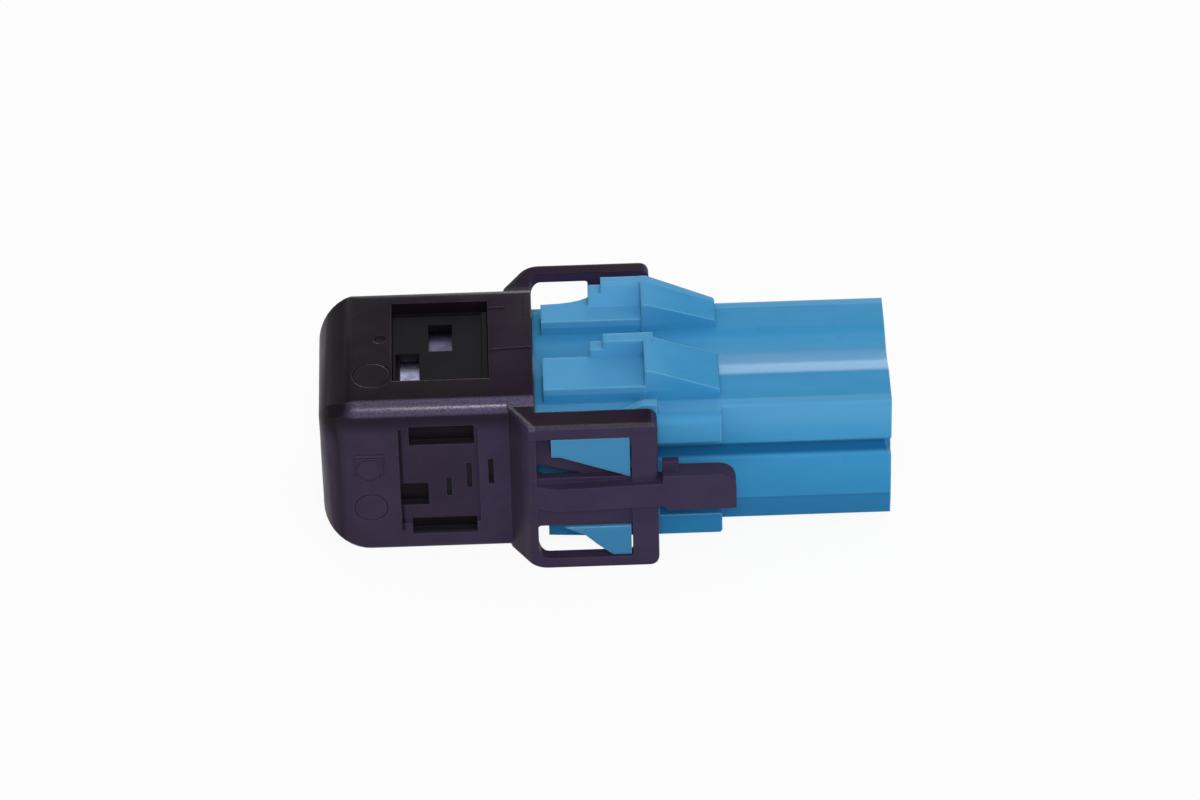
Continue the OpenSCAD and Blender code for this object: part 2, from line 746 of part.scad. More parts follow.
// Windowed plate in the top pocket, with a rib at its end; its gate stands behind the four shells' shoulders
module terminal_lock() {
    gate_low = [-cavity_w / 2 + fit_gap, axis_z - cavity_h / 2 + fit_gap];
    gate_high = [cavity_w / 2 - lock_travel - fit_gap, axis_z + cavity_h / 2 - fit_gap];
    stem_y0 = pocket_y + ledge + fit_gap;
    stem_y1 = pocket_y + pocket_w - ledge - lock_travel - fit_gap;
    color(black_plastic) seated() difference() {
        union() {
            block([lock_x, lock_y, lock_z], [lock_x + lock_l, lock_y + lock_w, lock_z + lock_t]);
            block(
                [lock_x + lock_l - 0.45, lock_y, lock_z],
                [lock_x + lock_l, lock_y + lock_w, lock_z + lock_t + lock_rib_h]
            );
            along_x(gate_x, gate_x + gate_t)
                polygon(rounded(box_path(gate_low, gate_high, tail_r + 2 * fit_gap)));
            block([gate_x, stem_y0, axis_z], [gate_x + gate_t, stem_y1, lock_z + eps]);
        }
        lock_window(front_window_x, front_window_y);
        lock_window(back_window_x, back_window_y);
        for (place = places) {
            rod(place, gate_x - 1, gate_x + gate_t + 1, stem_r + slide_gap);
            rod(place - [lock_travel, 0], gate_x - 1, gate_x + gate_t + 1, collar_r + slide_gap);
        }
    }
}

rear_housing();
front_housing();
terminal_lock();
contact_shell(0);  // contact_shell_1
contact_shell(1);  // contact_shell_2
contact_shell(2);  // contact_shell_3
contact_shell(3);  // contact_shell_4
dielectric(0);  // dielectric_1
dielectric(1);  // dielectric_2
dielectric(2);  // dielectric_3
dielectric(3);  // dielectric_4
centre_contact(0);  // centre_contact_1
centre_contact(1);  // centre_contact_2
centre_contact(2);  // centre_contact_3
centre_contact(3);  // centre_contact_4
crimp_ferrule(0);  // crimp_ferrule_1
crimp_ferrule(1);  // crimp_ferrule_2
crimp_ferrule(2);  // crimp_ferrule_3
crimp_ferrule(3);  // crimp_ferrule_4
cable_seal(0);  // cable_seal_1
cable_seal(1);  // cable_seal_2
cable_seal(2);  // cable_seal_3
cable_seal(3);  // cable_seal_4
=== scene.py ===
# Sealed automotive connector: finishes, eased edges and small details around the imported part
import bpy
import bmesh
import math
from mathutils import Matrix, Vector


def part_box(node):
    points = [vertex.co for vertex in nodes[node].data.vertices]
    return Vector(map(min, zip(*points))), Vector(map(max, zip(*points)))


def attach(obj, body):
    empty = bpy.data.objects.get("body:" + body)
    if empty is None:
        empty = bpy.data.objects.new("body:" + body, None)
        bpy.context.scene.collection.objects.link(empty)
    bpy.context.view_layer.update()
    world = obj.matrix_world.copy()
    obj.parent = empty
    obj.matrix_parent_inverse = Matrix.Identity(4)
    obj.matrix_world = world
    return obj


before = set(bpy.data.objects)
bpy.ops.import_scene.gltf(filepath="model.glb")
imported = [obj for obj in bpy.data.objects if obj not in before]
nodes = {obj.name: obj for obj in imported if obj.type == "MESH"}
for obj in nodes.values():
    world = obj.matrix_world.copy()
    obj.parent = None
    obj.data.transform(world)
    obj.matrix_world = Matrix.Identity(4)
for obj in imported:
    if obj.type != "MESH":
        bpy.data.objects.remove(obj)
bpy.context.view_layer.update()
scene = bpy.context.scene
mm = 0.001
print("frame loaded:", len(nodes), "nodes")

# Every place below counts in millimetres from here: the cable end, the middle between the contacts, the floor
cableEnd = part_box("rear_housing")[0][0]
midLine = (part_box("contact_shell_1")[1][1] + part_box("contact_shell_2")[0][1]) / 2


def put(x, y, z):
    return Vector((cableEnd + x * mm, midLine + y * mm, z * mm))


cameraSetup = {
    "elevation": 39.412, "yaw": 0.8, "roll": 1.419,   # degrees
    "distance": 505.255 * mm, "aim": (0.0, 0.275 * mm, 7.3 * mm),
    "sensor": 36.0, "lensOverSensor": 5.201, "shift": (-0.0033, 0.0116), "clip": (0.01, 10.0),
}


def addCamera(setup):
    e, a, r = (math.radians(setup[key]) for key in ("elevation", "yaw", "roll"))
    turn = Matrix.Rotation(-a, 3, "Z")
    right = turn @ Vector((1, 0, 0))
    up = turn @ Vector((0, math.sin(e), math.cos(e)))
    ahead = turn @ Vector((0, math.cos(e), -math.sin(e)))
    xAxis = math.cos(r) * right - math.sin(r) * up
    yAxis = math.sin(r) * right + math.cos(r) * up
    data = bpy.data.cameras.new("camera")
    data.sensor_width = setup["sensor"]
    data.lens = setup["sensor"] * setup["lensOverSensor"]
    data.shift_x, data.shift_y = setup["shift"]
    data.clip_start, data.clip_end = setup["clip"]
    camera = bpy.data.objects.new("camera", data)
    scene.collection.objects.link(camera)
    place = Vector(setup["aim"]) - ahead * setup["distance"]
    camera.matrix_world = Matrix((
        (xAxis.x, yAxis.x, -ahead.x, place.x), (xAxis.y, yAxis.y, -ahead.y, place.y),
        (xAxis.z, yAxis.z, -ahead.z, place.z), (0, 0, 0, 1)))
    scene.camera = camera


addCamera(cameraSetup)
print("camera placed")


# One value in a node tree: operators add Math nodes, so a formula reads as it is written
class Wire:
    def __init__(self, tree, socket):
        self.tree, self.socket = tree, socket

    def calc(self, operation, *values):
        return self.tree.add("ShaderNodeMath", {"operation": operation}, dict(enumerate(values)))

    def __add__(self, other): return self.calc("ADD", self, other)
    def __radd__(self, other): return self.calc("ADD", other, self)
    def __sub__(self, other): return self.calc("SUBTRACT", self, other)
    def __rsub__(self, other): return self.calc("SUBTRACT", other, self)
    def __mul__(self, other): return self.calc("MULTIPLY", self, other)
    def __rmul__(self, other): return self.calc("MULTIPLY", other, self)
    def __truediv__(self, other): return self.calc("DIVIDE", self, other)
    def __rtruediv__(self, other): return self.calc("DIVIDE", other, self)
    def atMost(self, other): return self.calc("MINIMUM", self, other)
    def atLeast(self, other): return self.calc("MAXIMUM", self, other)
    def size(self): return self.calc("ABSOLUTE", self)

    # Smooth from 0 at the first value to 1 at the second; a second value below the first makes it fall
    def rise(self, start, stop):
        if start > stop:
            return 1 - self.rise(stop, start)
        return self.tree.add("ShaderNodeMapRange", {"interpolation_type": "SMOOTHSTEP"},
                             {"Value": self, "From Min": start, "From Max": stop})


# A node tree that gets every node from add()
class Tree:
    def __init__(self, nodeTree):
        self.nodeTree = nodeTree
        nodeTree.nodes.clear()

    def feed(self, socket, value):
        if isinstance(value, Wire):
            self.nodeTree.links.new(value.socket, socket)
        elif isinstance(value, tuple) and len(value) == 3 and socket.type == "RGBA":
            socket.default_value = (*value, 1.0)
        else:
            socket.default_value = value

    # The node's type, its settings, its inputs by name or number, and the output or outputs to hand back
    def add(self, kind, settings, inputs, out=0):
        node = self.nodeTree.nodes.new(kind)
        for key, value in settings.items():
            setattr(node, key, value)
        for key, value in inputs.items():
            self.feed(node.inputs[key], value)
        if isinstance(out, tuple):
            return [Wire(self, node.outputs[key]) for key in out]
        return Wire(self, node.outputs[out])

    def combine(self, x, y, z):
        return self.add("ShaderNodeCombineXYZ", {}, {"X": x, "Y": y, "Z": z})

    # 1 where a surface is seen directly, mirrored or through glass, so that it shows as plain white there
    def seenRays(self):
        camera, glossy, clear = self.add("ShaderNodeLightPath", {}, {}, out=(
            "Is Camera Ray", "Is Glossy Ray", "Is Transmission Ray"))
        return camera.atLeast(glossy).atLeast(clear)


# A material on Object coordinates in millimetres, counted as put() counts them
class Finish(Tree):
    def __init__(self, name):
        self.material = bpy.data.materials.new(name)
        self.material.use_nodes = True
        super().__init__(self.material.node_tree)
        at = self.add("ShaderNodeTexCoord", {}, {}, out="Object")
        at = self.add("ShaderNodeVectorMath", {"operation": "SCALE"}, {0: at, "Scale": 1 / mm})
        self.at = self.add("ShaderNodeVectorMath", {"operation": "ADD"}, {
            0: at, 1: (-cableEnd / mm, -midLine / mm, 0.0)})
        x, y, z = self.add("ShaderNodeSeparateXYZ", {}, {0: self.at}, out=("X", "Y", "Z"))
        self.axes = {"x": x, "y": y, "z": z, "side": y.size()}   # side: distance from the middle either way

    # A mask from ranges on the axes: two values are one slope, four are the slopes at both ends
    def zone(self, ranges):
        mask = None
        for axis, ends in ranges.items():
            slopes = [self.axes[axis].rise(ends[0], ends[1])]
            if len(ends) == 4:
                slopes.append(self.axes[axis].rise(ends[3], ends[2]))
            for slope in slopes:
                mask = slope if mask is None else mask * slope
        return mask

    def noise(self, at, scale, detail=2.0, rough=0.5):
        return self.add("ShaderNodeTexNoise", {}, {
            "Vector": at, "Scale": scale, "Detail": detail, "Roughness": rough})

    def blend(self, amount, first, second):
        return self.add("ShaderNodeMix", {"data_type": "RGBA"}, {0: amount, 6: first, 7: second}, out=2)

    # A tint in one zone; more is anything else that varies its strength
    def tint(self, colour, spot, more=1.0):
        return self.blend(self.zone(spot["zone"]) * (more * spot["amount"]), colour, spot["colour"])

    def eased(self, radius):
        return self.add("ShaderNodeBevel", {"samples": 6}, {"Radius": radius * mm})

    # Fine relief over edges that look rounded by a radius; form is a wide height, all in millimetres
    def relief(self, height, strength, depth, edgeRadius, form=None):
        normal = self.eased(edgeRadius)
        if form is not None:
            normal = self.add("ShaderNodeBump", {}, {
                "Strength": 1.0, "Distance": mm, "Height": form, "Normal": normal})
        return self.add("ShaderNodeBump", {}, {
            "Strength": strength, "Distance": depth * mm, "Height": height, "Normal": normal})

    # 0 deep in the piece's own corners, 1 in the open
    def openness(self):
        return self.add("ShaderNodeAmbientOcclusion", {"samples": 6, "only_local": True},
                        {"Distance": 0.5 * mm}, out="AO")

    # A mask along the outer edges within a radius
    def outerEdges(self, radius, openness):
        plain = self.add("ShaderNodeNewGeometry", {}, {}, out="Normal")
        likeness = self.add("ShaderNodeVectorMath", {"operation": "DOT_PRODUCT"},
                            {0: self.eased(radius), 1: plain}, out="Value")
        return (1 - likeness).rise(0.01, 0.16) * openness.rise(0.6, 0.85)

    def surface(self, inputs):
        shader = self.add("ShaderNodeBsdfPrincipled", {}, inputs)
        self.add("ShaderNodeOutputMaterial", {}, {"Surface": shader}, out=())
        return self.material


def linear(r, g, b):
    return tuple(((v / 255 + 0.055) / 1.055) ** 2.4 if v > 10 else v / 255 / 12.92 for v in (r, g, b))


blackPlastic = {
    # side and arm are painted lit copies of the black for the sides
    "top": linear(20, 15, 21), "dusty": linear(28, 20, 30), "side": linear(59, 49, 70), "arm": linear(60, 52, 77),
    # painted highlight colours: a pale line along the outer edges and a lavender sheen along the upper edge
    "tarnishShadeAndSheen": linear(82, 72, 98), "paintedSheen": linear(60, 46, 90), "paintedSheenAmount": 0.6,
    "roughness": 0.3, "specular": 0.04, "coatRoughness": 0.32, "coatIor": 1.6,
    "cloud": 0.35, "grain": 8.0, "grainHeight": 0.014, "edge": 0.16,
    "rim": {"colour": linear(32, 14, 37), "amount": 0.7, "zone": {"x": (12.8, 14.6)}},
    # the sides and the lower part of the cable end are painted paler than the top: painted light from the front,
    # mottled by the grain
    "litSideZone": {"side": (6.9, 7.5)}, "litEndZone": {"x": (2.4, 0.5), "z": (13.0, 10.5)},
    "belowTop": {"z": (14.58, 14.45)}, "shoulder": {"z": (11.8, 13.5), "x": (17.0, 15.0)}, "shoulderLess": 0.7,
    "armZone": {"x": (3.0, 26.0)}, "armAmount": 0.9,
    # painted shade: the floors of the slots in the front side and the foot of the flare are painted darker, and
    # the step beside them gets a painted shadow line
    "slotFloorShade": {"colour": linear(33, 32, 35), "amount": 1.0, "zone": {
        "x": (6.2, 6.3, 14.0, 14.1), "y": (-7.25, -7.1, -6.72, -6.66), "z": (13.0, 12.9)}},
    "flareFootShade": {"colour": linear(33, 32, 35), "amount": 0.45, "zone": {
        "x": (15.05, 15.25, 15.9, 16.4), "side": (7.5, 7.6)}},
    "slotStepShadow": {"colour": linear(15, 14, 17), "amount": 0.85, "zone": {
        "x": (6.26, 6.32, 6.5, 6.62), "y": (-7.2, -7.28), "z": (2.0, 2.2, 12.2, 12.6)}},
    # handling has rubbed the upper long edges to a shine, less so on the far side; along the body's edge a
    # painted lavender sheen also tints the colour
    "bodyEdge": {"side": (6.4, 6.8, 7.6, 7.7), "z": (13.75, 14.1), "x": (1.9, 3.3)},
    "frameEdge": {"side": (10.0, 10.15), "z": (14.2, 14.4)}, "frameAmount": 0.45,
    "flareEdge": {"x": (14.9, 15.1, 17.2, 17.5), "z": (14.1, 14.35)},
    "flareSlant": {"foot": (15.1, 7.55), "across": (-0.827, 0.562), "band": (-0.34, -0.14)},
    "farSide": {"y": (0.0, 1.0)}, "farLess": 0.8,
}


def makeBlackPlastic(spec):
    f = Finish("blackPlastic")
    cloud = f.noise(f.at, spec["cloud"], 3.0).rise(0.35, 0.7)
    grain = f.noise(f.at, spec["grain"], 3.0, 0.6)
    colour = f.blend(cloud * 0.6 + grain * 0.2, spec["top"], spec["dusty"])
    colour = f.tint(colour, spec["rim"])
    # painted light: the sides and lower cable end take the paler lit copy, weaker at the shoulder by the flare
    side = f.zone(spec["litSideZone"]).atLeast(f.zone(spec["litEndZone"])) * f.zone(spec["belowTop"])
    side = side * (1 - spec["shoulderLess"] * f.zone(spec["shoulder"]))
    litFlank = f.blend(f.zone(spec["armZone"]) * spec["armAmount"], spec["side"], spec["arm"])
    colour = f.blend(side * (0.78 + grain * 0.3 - cloud * 0.16), colour, litFlank)
    # painted shade in the slot floors and on the flare's foot, painted shadow along the step
    for spot in ("slotFloorShade", "flareFootShade", "slotStepShadow"):
        colour = f.tint(colour, spec[spot])
    near = 1 - f.zone(spec["farSide"]) * spec["farLess"]
    bodyEdge = f.zone(spec["bodyEdge"]) * near
    frameEdge = f.zone(spec["frameEdge"]) * near * spec["frameAmount"]
    (footX, footSide), (acrossX, acrossSide) = spec["flareSlant"]["foot"], spec["flareSlant"]["across"]
    slant = (f.axes["side"] - footSide) * acrossSide + (f.axes["x"] - footX) * acrossX
    flareEdge = slant.rise(*spec["flareSlant"]["band"]) * f.zone(spec["flareEdge"]) * near
    shine = bodyEdge.atLeast(frameEdge).atLeast(flareEdge) * grain.rise(0.26, 0.58)
    # painted highlight: a pale line along the outer edges, mottled by the cloud
    tarnishShadeAndSheen = f.outerEdges(spec["edge"], f.openness()) * (0.35 + cloud * 0.35)
    colour = f.blend(tarnishShadeAndSheen, colour, spec["tarnishShadeAndSheen"])
    # painted sheen: the body's upper edge is tinted lavender like its highlight
    colour = f.blend(bodyEdge * spec["paintedSheenAmount"], colour, spec["paintedSheen"])
    return f.surface({
        "Base Color": colour, "Roughness": spec["roughness"] + (grain - 0.5) * 0.22 + cloud * 0.06,
        "Specular IOR Level": spec["specular"], "Coat Weight": shine,
        "Coat Roughness": spec["coatRoughness"], "Coat IOR": spec["coatIor"],
        "Normal": f.relief(grain, 0.5, spec["grainHeight"], spec["edge"])})


bluePlastic = {
    "colour": linear(58, 142, 192), "pale": linear(68, 152, 202), "deep": linear(42, 123, 173),
    "corner": linear(12, 86, 142), "cornerAmount": 0.45, "paintedEdgeHighlight": linear(122, 190, 226), "edgeHighlightAmount": 0.7,
    "roughness": 0.38, "specular": 0.04, "coatRoughness": 0.38,
    "flow": 0.35, "cloud": 0.5, "grain": 6.0, "grainHeight": 0.008, "edge": 0.32, "edgeBand": 0.24,
    # the tints, in the order in which they lie over each other
    # painted shade: darker towards the bottom
    "shadedLowerHalf": {"colour": linear(42, 123, 173), "amount": 0.75, "zone": {"z": (9.4, 0.8)}},
    # painted light: paler arm tops and low valley walls
    "litArmTops": {"colour": linear(92, 163, 210), "amount": 0.55, "zone": {"x": (29.5, 25.0), "z": (13.9, 14.1)}},
    "litValleyLow": {"colour": linear(92, 163, 210), "amount": 0.3, "zone": {
        "side": (5.85, 5.75), "z": (12.3, 12.4, 12.95, 13.15)}},
    # painted light on the upper flank, less on the key's sides
    "litFlank": {"colour": linear(88, 159, 204), "amount": 0.75, "zone": {"side": (5.75, 5.85), "z": (8.8, 12.4)}},
    "keySides": {"side": (7.0, 7.4)}, "keyLess": 0.6,
    # painted shade on the foot, darkest in a line where it starts
    "foot": {"colour": linear(38, 113, 161), "amount": 1.0, "zone": {"side": (5.75, 5.85), "z": (3.66, 3.5)}},
    "footRise": {"z": (3.2, 3.5)},
    # painted shade in the groove
    "shadedGroove": {"colour": linear(24, 95, 146), "amount": 1.0, "zone": {
        "side": (5.75, 5.85, 6.3, 6.6), "z": (7.6, 7.9, 9.2, 9.4)}},
    "lance": {"colour": linear(62, 125, 166), "amount": 0.85, "zone": {"y": (-9.0, -9.2)}},
    # the valley on top is polished, and its near wall runs out more gently than the far one
    "valley": {"z": (12.3, 12.4, 13.22, 13.26)},
    "valleyPolish": {"x": (29.0, 30.5), "y": (-3.0, -2.2, 0.8, 1.8)}, "polish": 0.42,
    "modelledWall": (-3.2, -0.55), "leaningWall": (-2.4, 1.6), "lean": 0.6,
}


def makeBluePlastic(spec):
    f = Finish("bluePlastic")
    x, y, z = (f.axes[axis] for axis in "xyz")
    drift = f.combine(x * spec["flow"], y, z)   # flow marks run along the moulding
    cloud = f.noise(drift, spec["cloud"], 2.0).rise(0.3, 0.75)
    grain = f.noise(f.at, spec["grain"], 3.0, 0.6)
    colour = f.blend(cloud * 0.4, spec["colour"], spec["pale"])
    colour = f.blend(f.noise(f.at, 0.7, 2.0).rise(0.5, 0.85) * 0.25, colour, spec["deep"])
    # painted shade on the lower half; painted light on the arm tops and low in the valley
    for spot in ("shadedLowerHalf", "litArmTops", "litValleyLow"):
        colour = f.tint(colour, spec[spot])
    # painted light on the upper flank
    colour = f.tint(colour, spec["litFlank"], 1 - f.zone(spec["keySides"]) * spec["keyLess"])
    # painted shade on the foot
    colour = f.tint(colour, spec["foot"], 0.75 + 0.25 * f.zone(spec["footRise"]))
    # painted shade in the groove, then the lances' greyer tint
    for spot in ("shadedGroove", "lance"):
        colour = f.tint(colour, spec[spot])
    openness = f.openness()
    # painted shade in the piece's own corners
    colour = f.blend((1 - openness).rise(0.3, 0.6) * spec["cornerAmount"], colour, spec["corner"])
    # painted highlight along the outer edges
    colour = f.blend(f.outerEdges(spec["edgeBand"], openness) * spec["edgeHighlightAmount"], colour, spec["paintedEdgeHighlight"])
    valley = f.zone(spec["valley"])
    lean = (y.rise(*spec["modelledWall"]) - y.rise(*spec["leaningWall"])) * valley * spec["lean"]
    matt = (grain - 0.5) * 0.14 + cloud * 0.05 + f.zone(spec["shadedGroove"]["zone"]) * 0.4
    return f.surface({
        "Base Color": colour, "Roughness": spec["roughness"] + matt, "Specular IOR Level": spec["specular"],
        "Coat Weight": f.zone(spec["valleyPolish"]) * valley * spec["polish"],
        "Coat Roughness": spec["coatRoughness"],
        "Normal": f.relief(grain, 0.45, spec["grainHeight"], spec["edge"], lean)})


lockPlastic = {
    "colour": linear(10, 9, 13), "dusty": linear(17, 15, 20), "roughness": 0.36, "specular": 0.04,
    "cloud": 0.5, "grain": 9.0, "grainHeight": 0.01, "edge": 0.08,
}


def makeLockPlastic(spec):
    f = Finish("lockPlastic")
    grain = f.noise(f.at, spec["grain"], 3.0, 0.6)
    cloud = f.noise(f.at, spec["cloud"], 2.0).rise(0.35, 0.7)
    return f.surface({
        "Base Color": f.blend(cloud * 0.6 + grain * 0.2, spec["colour"], spec["dusty"]),
        "Roughness": spec["roughness"] + (grain - 0.5) * 0.2, "Specular IOR Level": spec["specular"],
        "Normal": f.relief(grain, 0.5, spec["grainHeight"], spec["edge"])})


shellMetal = {
    "colour": linear(190, 188, 198), "tarnishShadeAndSheen": linear(158, 156, 168),
    "roughness": 0.24, "edge": 0.05, "backRowShade": 0.0,
}
ferruleMetal = {
    "colour": linear(186, 186, 218), "tarnishShadeAndSheen": linear(92, 89, 116),
    "roughness": 0.36, "edge": 0.12, "backRowShade": 0.9,
}
goldPlating = {
    "colour": linear(226, 184, 104), "tarnishShadeAndSheen": linear(206, 162, 88),
    "roughness": 0.22, "edge": 0.04, "backRowShade": 0.0,
}
metalGrain = {   # drawing streaks run lengthwise; the back row stands deeper and is painted darker as shade
    "streak": (0.6, 9.0, 9.0), "streakHeight": 0.004, "backRow": {"y": (-0.2, 0.3)},
}


def makeMetal(name, spec, metal):
    f = Finish(name)
    drawn = f.combine(*(f.axes[axis] * stretch for axis, stretch in zip("xyz", metal["streak"])))
    streak = f.noise(drawn, 1.2, 3.0, 0.6)
    tarnish = f.noise(f.at, 0.8, 3.0).rise(0.4, 0.75)
    # painted shade on the ferrules' back row, mixed with random tarnish
    tarnishAndShade = (tarnish * 0.6 + spec["backRowShade"] * f.zone(metal["backRow"])).atMost(1.0)
    return f.surface({
        "Base Color": f.blend(tarnishAndShade, spec["colour"], spec["tarnishShadeAndSheen"]), "Metallic": 1.0,
        "Roughness": spec["roughness"] + (streak - 0.5) * 0.2 + tarnish * 0.08,
        "Normal": f.relief(streak, 0.4, metal["streakHeight"], spec["edge"])})


whiteDielectric = {
    "colour": linear(232, 230, 222), "roughness": 0.4, "edge": 0.06, "grain": 6.0, "grainHeight": 0.004,
}
sealRubber = {
    "colour": linear(60, 64, 70), "roughness": 0.6, "edge": 0.08, "grain": 12.0, "grainHeight": 0.008,
}


def makeSoft(name, spec):
    f = Finish(name)
    grain = f.noise(f.at, spec["grain"], 3.0, 0.6)
    cloud = f.noise(f.at, 0.7, 2.0).rise(0.35, 0.7)
    darker = tuple(v * 0.82 for v in spec["colour"])
    return f.surface({
        "Base Color": f.blend(cloud * 0.5, spec["colour"], darker),
        "Roughness": spec["roughness"] + (grain - 0.5) * 0.15, "Specular IOR Level": 0.35,
        "Normal": f.relief(grain, 0.5, spec["grainHeight"], spec["edge"])})


finishes = {
    "black": makeBlackPlastic(blackPlastic), "blue": makeBluePlastic(bluePlastic),
    "lock": makeLockPlastic(lockPlastic),
    "shell": makeMetal("shellMetal", shellMetal, metalGrain),
    "ferrule": makeMetal("ferruleMetal", ferruleMetal, metalGrain),
    "gold": makeMetal("contactGold", goldPlating, metalGrain),
    "dielectric": makeSoft("dielectricWhite", whiteDielectric), "seal": makeSoft("sealRubber", sealRubber),
}
print("finishes made:", len(finishes))


# An empty Geometry Nodes tree with its sizes as named inputs
def newShapeTree(name, sizes):
    group = bpy.data.node_groups.new(name, "GeometryNodeTree")
    group.interface.new_socket("Geometry", in_out="INPUT", socket_type="NodeSocketGeometry")
    for label, value in sizes.items():
        kind = "NodeSocketInt" if isinstance(value, int) else "NodeSocketFloat"
        group.interface.new_socket(label, in_out="INPUT", socket_type=kind)
    group.interface.new_socket("Geometry", in_out="OUTPUT", socket_type="NodeSocketGeometry")
    tree = Tree(group)
    given = tree.add("NodeGroupInput", {}, {}, out=("Geometry", *sizes))
    return tree, given[0], dict(zip(sizes, given[1:]))


# Puts a tree on an object, its inputs set by the sockets' identifiers
def useTree(piece, tree, sizes):
    modifier = piece.modifiers.new("shape", "NODES")
    modifier.node_group = tree.nodeTree
    for socket in tree.nodeTree.interface.items_tree:
        if socket.in_out == "INPUT" and socket.name in sizes:
            modifier[socket.identifier] = sizes[socket.name]


nodeShading = {"Join Distance": 0.002 * mm, "Crease Angle": math.radians(28)}
nodeFinish = {   # name start: finish
    "rear_housing": "black", "front_housing": "blue", "terminal_lock": "lock", "contact_shell": "shell",
    "dielectric": "dielectric", "centre_contact": "gold", "crimp_ferrule": "ferrule", "cable_seal": "seal",
}


# Joins the loose triangles; shading runs smoothly over curves and breaks at creases
def makeShadingTree(sizes):
    tree, mesh, given = newShapeTree("nodeShading", sizes)
    mesh = tree.add("GeometryNodeMergeByDistance", {}, {"Geometry": mesh, "Distance": given["Join Distance"]})
    mesh = tree.add("GeometryNodeSetMeshNormal", {"mode": "SHARPNESS"}, {"Mesh": mesh, "Remove Custom": True})
    mesh = tree.add("GeometryNodeSetShadeSmooth", {}, {"Geometry": mesh})
    angle = tree.add("GeometryNodeInputMeshEdgeAngle", {}, {}, out="Unsigned Angle")
    sharp = tree.add("FunctionNodeCompare", {"operation": "GREATER_THAN"}, {0: angle, 1: given["Crease Angle"]})
    mesh = tree.add("GeometryNodeSetShadeSmooth", {"domain": "EDGE"}, {
        "Geometry": mesh, "Selection": sharp, "Shade Smooth": False})
    tree.add("NodeGroupOutput", {}, {0: mesh}, out=())
    return tree


shadingTree = makeShadingTree(nodeShading)
for name, node in nodes.items():
    finish = next(nodeFinish[key] for key in nodeFinish if name.startswith(key))
    node.data.materials.clear()
    node.data.materials.append(finishes[finish])
    useTree(node, shadingTree, nodeShading)
print("nodes dressed:", len(nodes))


# Makes the mesh an object that rides on the connector; with a crease angle it is shaded smooth between creases
def addPiece(name, bm, finish, crease=None):
    bmesh.ops.recalc_face_normals(bm, faces=bm.faces)
    if crease is not None:
        for face in bm.faces:
            face.smooth = True
        for edge in bm.edges:
            edge.smooth = edge.calc_face_angle(0.0) <= crease
    data = bpy.data.meshes.new(name)
    bm.to_mesh(data)
    bm.free()
    data.materials.append(finishes[finish])
    piece = bpy.data.objects.new(name, data)
    scene.collection.objects.link(piece)
    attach(piece, "connector")
    return piece


# A thin raised line on a flat face: a flat-topped ridge through points on the face, normal pointing out
def addRidge(name, points, normal, width, height, closed=False, sink=0.02):
    points = [put(*p) for p in points]
    normal = Vector(normal)
    count = len(points)
    half = width / 2 * mm
    section = ((-half, -sink * mm), (-half / 2, height * mm), (half / 2, height * mm), (half, -sink * mm))
    bm = bmesh.new()
    rings = []
    for i, point in enumerate(points):
        before = points[i - 1] if closed or i > 0 else point
        after = points[(i + 1) % count] if closed or i < count - 1 else point
        across = normal.cross((after - before).normalized()).normalized()
        if before != point and after != point:   # a corner is mitred, up to 2.5 times the width
            first = normal.cross((point - before).normalized())
            across = across / max(0.4, abs(across.dot(first)))
        rings.append([bm.verts.new(point + across * side + normal * up) for side, up in section])
    for i in range(count if closed else count - 1):
        a, b = rings[i], rings[(i + 1) % count]
        for k in range(4):
            bm.faces.new((a[k], b[k], b[(k + 1) % 4], a[(k + 1) % 4]))
    if not closed:
        bm.faces.new(rings[0])
        bm.faces.new(reversed(rings[-1]))
    addPiece(name, bm, "black")


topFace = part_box("rear_housing")[1][2] / mm
frontFace = -7.55
mouldLines = {
    "line": {"width": 0.15, "height": 0.05},
    "top": {
        "stepLine": [(13.83, 4.77), (15.12, 4.83)], "topSeam": [(13.74, -0.58), (17.1, -0.36)],
        "crossLine": [(16.6, 3.76), (16.6, 5.97)],
    },
    "front": {"frontSeam": [(12.6, 11.31), (14.82, 11.16)]},
}
for name, path in mouldLines["top"].items():
    addRidge(name, [(x, y, topFace) for x, y in path], (0, 0, 1), **mouldLines["line"])
for name, path in mouldLines["front"].items():
    addRidge(name, [(x, frontFace, z) for x, z in path], (0, -1, 0), **mouldLines["line"])

# Plain mould mark on the front: a ring in a frame that stays open at its foot, under a bar
mouldMark = {
    "x": (2.75, 5.1), "frameZ": (7.85, 9.65), "barZ": 9.95, "ringZ": 8.4, "ringRadius": 1.05, "ringSteps": 40,
    "line": {"width": 0.15, "height": 0.09}, "bar": {"width": 0.3, "height": 0.14},
}


def addMouldMark(spec):
    (x0, x1), (z0, z1) = spec["x"], spec["frameZ"]
    ring = []
    for i in range(spec["ringSteps"]):
        turn = 2 * math.pi * i / spec["ringSteps"]
        ring.append(((x0 + x1) / 2 + spec["ringRadius"] * math.cos(turn),
                     spec["ringZ"] + spec["ringRadius"] * math.sin(turn)))
    paths = {
        "markRing": (ring, spec["line"], True),
        "markFrame": ([(x0, z0), (x0, z1), (x1, z1), (x1, z0)], spec["line"], False),
        "markBar": ([(x0, spec["barZ"]), (x1, spec["barZ"])], spec["bar"], False),
    }
    for name, (path, line, closed) in paths.items():
        addRidge(name, [(x, frontFace, z) for x, z in path], (0, -1, 0), closed=closed, **line)


addMouldMark(mouldMark)
print("mould lines and mark added")

# Pressed crests on the upper ferrules, under the windows of the lock
ferruleCrests = {
    "places": {
        "ferruleCrest1": {"x": (6.55, 11.0), "y": (0.25, 4.9)},
        "ferruleCrest2": {"x": (6.55, 11.0), "y": (-3.5, 0.05)},
    },
    "top": 13.42, "sheet": 0.3, "crown": 0.12, "legOverlap": 0.3, "steps": 14, "crease": math.radians(28),
}


